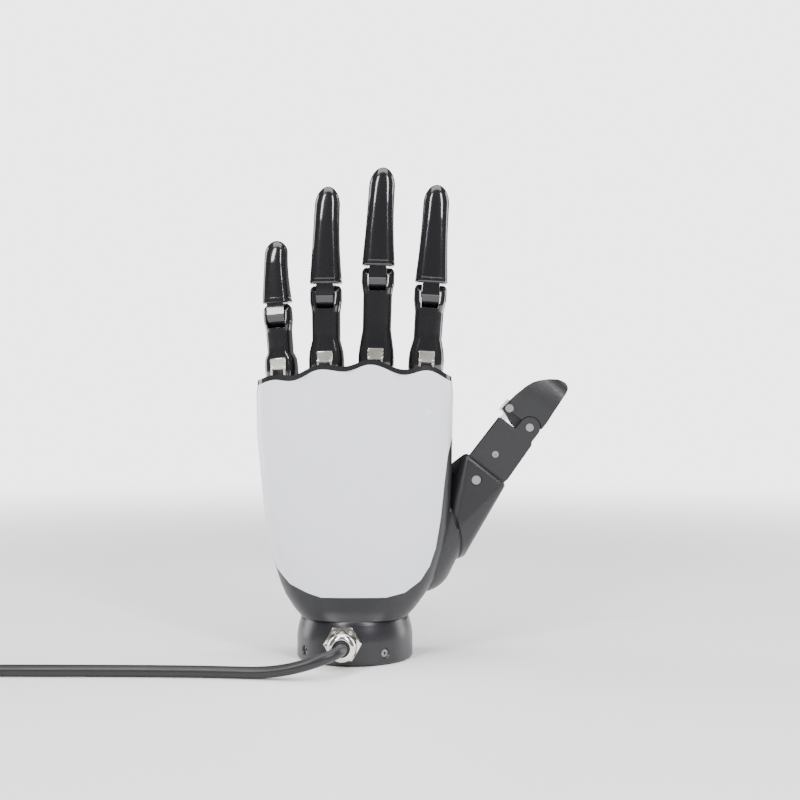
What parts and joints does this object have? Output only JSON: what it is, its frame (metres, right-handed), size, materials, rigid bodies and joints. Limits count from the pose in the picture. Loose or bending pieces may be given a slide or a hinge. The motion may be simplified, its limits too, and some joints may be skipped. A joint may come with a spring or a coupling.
{
  "type": "prosthetic hand",
  "caption": "Left prosthetic hand with a pearl back cover, gloss black jointed fingers, a turning thumb and a round wrist ring with a cable gland and lead.",
  "frame": {"origin": "centre of the wrist ring's bottom face", "axes": "+Z to the fingertips, +X to the thumb, -Y to the back of the hand"},
  "size_m": [0.3073, 0.0694, 0.1955],
  "materials": {
    "pearl_cover": "satin pearl white",
    "black_shell": "satin moulded",
    "black_gloss": "gloss lacquer",
    "black_wrist": "satin anodised",
    "nickel": "bright nickel",
    "steel": "ground",
    "aluminium": "machined",
    "board": "solder mask",
    "seal_rubber": "matte",
    "cable_jacket": "satin"
  },
  "bodies": {
    "palm": {"wrist_ring": "black_wrist", "wrist_screws": "steel", "palm_frame": "aluminium", "palm_shell": "black_shell", "back_cover": "pearl_cover", "knuckle_rim": "black_gloss", "cover_screws": "steel", "knuckle_pins": "steel", "control_board": "board", "gland_body": "nickel", "gland_nut": "nickel", "gland_seal": "seal_rubber", "cable": "cable_jacket", "cable_coil": "cable_jacket", "cable_connector": "black_shell", "index_actuator": "aluminium", "middle_actuator": "aluminium", "ring_actuator": "aluminium", "pinky_actuator": "aluminium", "thumb_motor": "aluminium", "thumb_seam_ring": "black_shell"},
    "index_proximal": {"index_lever": "nickel", "index_proximal": "black_gloss", "index_middle_pin": "steel"},
    "index_rod": {"index_push_rod": "nickel"},
    "index_coupler": {"index_coupler": "steel"},
    "index_tip": {"index_tip_frame": "black_gloss", "index_tip_cover": "black_gloss"},
    "middle_proximal": {"middle_lever": "nickel", "middle_proximal": "black_gloss", "middle_middle_pin": "steel"},
    "middle_rod": {"middle_push_rod": "nickel"},
    "middle_coupler": {"middle_coupler": "steel"},
    "middle_tip": {"middle_tip_frame": "black_gloss", "middle_tip_cover": "black_gloss"},
    "ring_proximal": {"ring_lever": "nickel", "ring_proximal": "black_gloss", "ring_middle_pin": "steel"},
    "ring_rod": {"ring_push_rod": "nickel"},
    "ring_coupler": {"ring_coupler": "steel"},
    "ring_tip": {"ring_tip_frame": "black_gloss", "ring_tip_cover": "black_gloss"},
    "pinky_proximal": {"pinky_lever": "nickel", "pinky_proximal": "black_gloss", "pinky_middle_pin": "steel"},
    "pinky_rod": {"pinky_push_rod": "nickel"},
    "pinky_coupler": {"pinky_coupler": "steel"},
    "pinky_tip": {"pinky_tip_frame": "black_gloss", "pinky_tip_cover": "black_gloss"},
    "thumb_base": {"thumb_housing": "black_shell", "thumb_flex_pin": "steel", "thumb_actuator": "aluminium"},
    "thumb_proximal": {"thumb_proximal": "black_shell", "thumb_screw": "steel", "thumb_hinge_pin": "steel"},
    "thumb_coupler": {"thumb_coupler": "steel"},
    "thumb_tip": {"thumb_tip": "black_shell", "thumb_link_pin": "steel"}
  },
  "joints": [
    {"name": "index_knuckle", "type": "hinge", "parent": "palm", "child": "index_proximal", "pos_m": [0.0279, 0.0025, 0.1083], "axis": [-0.9979, 0, 0.0645], "range_deg": [0, 78]},
    {"name": "index_middle", "type": "hinge", "parent": "index_proximal", "child": "index_tip", "pos_m": [0.03023, 0.0025, 0.14433], "axis": [-0.9979, 0, 0.0645], "range_deg": [0, 78]},
    {"name": "index_rod_slide", "type": "slide", "parent": "palm", "child": "index_rod", "axis": [0.0645, 0, 0.9979], "range_m": [0, 0.00819]},
    {"name": "index_coupler_slide", "type": "slide", "parent": "index_proximal", "child": "index_coupler", "axis": [-0.0645, 0, -0.9979], "range_m": [0, 0.0053]},
    {"name": "middle_knuckle", "type": "hinge", "parent": "palm", "child": "middle_proximal", "pos_m": [0.0082, 0.0025, 0.1094], "axis": [-0.9991, 0.0349, 0.0244], "range_deg": [0, 78]},
    {"name": "middle_middle", "type": "hinge", "parent": "middle_proximal", "child": "middle_tip", "pos_m": [0.00922, 0.0025, 0.15119], "axis": [-0.9991, 0.0349, 0.0244], "range_deg": [0, 78]},
    {"name": "middle_rod_slide", "type": "slide", "parent": "palm", "child": "middle_rod", "axis": [0.0244, 0, 0.9997], "range_m": [0, 0.00819]},
    {"name": "middle_coupler_slide", "type": "slide", "parent": "middle_proximal", "child": "middle_coupler", "axis": [-0.0244, 0, -0.9997], "range_m": [0, 0.0053]},
    {"name": "ring_knuckle", "type": "hinge", "parent": "palm", "child": "ring_proximal", "pos_m": [-0.0114, 0.0025, 0.1083], "axis": [-0.9975, 0.0698, -0.0087], "range_deg": [0, 78]},
    {"name": "ring_middle", "type": "hinge", "parent": "ring_proximal", "child": "ring_tip", "pos_m": [-0.01171, 0.0025, 0.144], "axis": [-0.9975, 0.0698, -0.0087], "range_deg": [0, 78]},
    {"name": "ring_rod_slide", "type": "slide", "parent": "palm", "child": "ring_rod", "axis": [-0.0087, 0, 1], "range_m": [0, 0.00819]},
    {"name": "ring_coupler_slide", "type": "slide", "parent": "ring_proximal", "child": "ring_coupler", "axis": [0.0087, 0, -1], "range_m": [0, 0.0053]},
    {"name": "pinky_knuckle", "type": "hinge", "parent": "palm", "child": "pinky_proximal", "pos_m": [-0.0289, 0.0025, 0.1056], "axis": [-0.9881, 0.1392, -0.0656], "range_deg": [0, 78]},
    {"name": "pinky_middle", "type": "hinge", "parent": "pinky_proximal", "child": "pinky_tip", "pos_m": [-0.03094, 0.0025, 0.13633], "axis": [-0.9881, 0.1392, -0.0656], "range_deg": [0, 78]},
    {"name": "pinky_rod_slide", "type": "slide", "parent": "palm", "child": "pinky_rod", "axis": [-0.0663, 0, 0.9978], "range_m": [0, 0.00819]},
    {"name": "pinky_coupler_slide", "type": "slide", "parent": "pinky_proximal", "child": "pinky_coupler", "axis": [0.0663, 0, -0.9978], "range_m": [0, 0.0053]},
    {"name": "thumb_turn", "type": "hinge", "parent": "palm", "child": "thumb_base", "pos_m": [0.036, 0.008, 0.05], "axis": [-0.8754, -0.4082, -0.2588], "range_deg": [0, 90]},
    {"name": "thumb_flex", "type": "hinge", "parent": "thumb_base", "child": "thumb_proximal", "pos_m": [0.0485, 0.008, 0.07], "axis": [0, -1, 0], "range_deg": [0, 36]},
    {"name": "thumb_tip_bend", "type": "hinge", "parent": "thumb_proximal", "child": "thumb_tip", "pos_m": [0.07012, 0.008, 0.09093], "axis": [0, -1, 0], "range_deg": [0, 16.2]},
    {"name": "thumb_coupler_slide", "type": "slide", "parent": "thumb_proximal", "child": "thumb_coupler", "axis": [-0.6157, 0, -0.788], "range_m": [0, 0.00316]}
  ],
  "couplings": [
    {"joint": "index_middle", "follows": "index_knuckle", "ratio": 1},
    {"joint": "index_rod_slide", "follows": "index_knuckle", "m_per_rad": 0.00601},
    {"joint": "index_coupler_slide", "follows": "index_knuckle", "m_per_rad": 0.003883},
    {"joint": "middle_middle", "follows": "middle_knuckle", "ratio": 1},
    {"joint": "middle_rod_slide", "follows": "middle_knuckle", "m_per_rad": 0.00601},
    {"joint": "middle_coupler_slide", "follows": "middle_knuckle", "m_per_rad": 0.003883},
    {"joint": "ring_middle", "follows": "ring_knuckle", "ratio": 1},
    {"joint": "ring_rod_slide", "follows": "ring_knuckle", "m_per_rad": 0.00601},
    {"joint": "ring_coupler_slide", "follows": "ring_knuckle", "m_per_rad": 0.003883},
    {"joint": "pinky_middle", "follows": "pinky_knuckle", "ratio": 1},
    {"joint": "pinky_rod_slide", "follows": "pinky_knuckle", "m_per_rad": 0.00601},
    {"joint": "pinky_coupler_slide", "follows": "pinky_knuckle", "m_per_rad": 0.003883},
    {"joint": "thumb_tip_bend", "follows": "thumb_flex", "ratio": 0.45},
    {"joint": "thumb_coupler_slide", "follows": "thumb_flex", "m_per_rad": 0.005018}
  ]
}
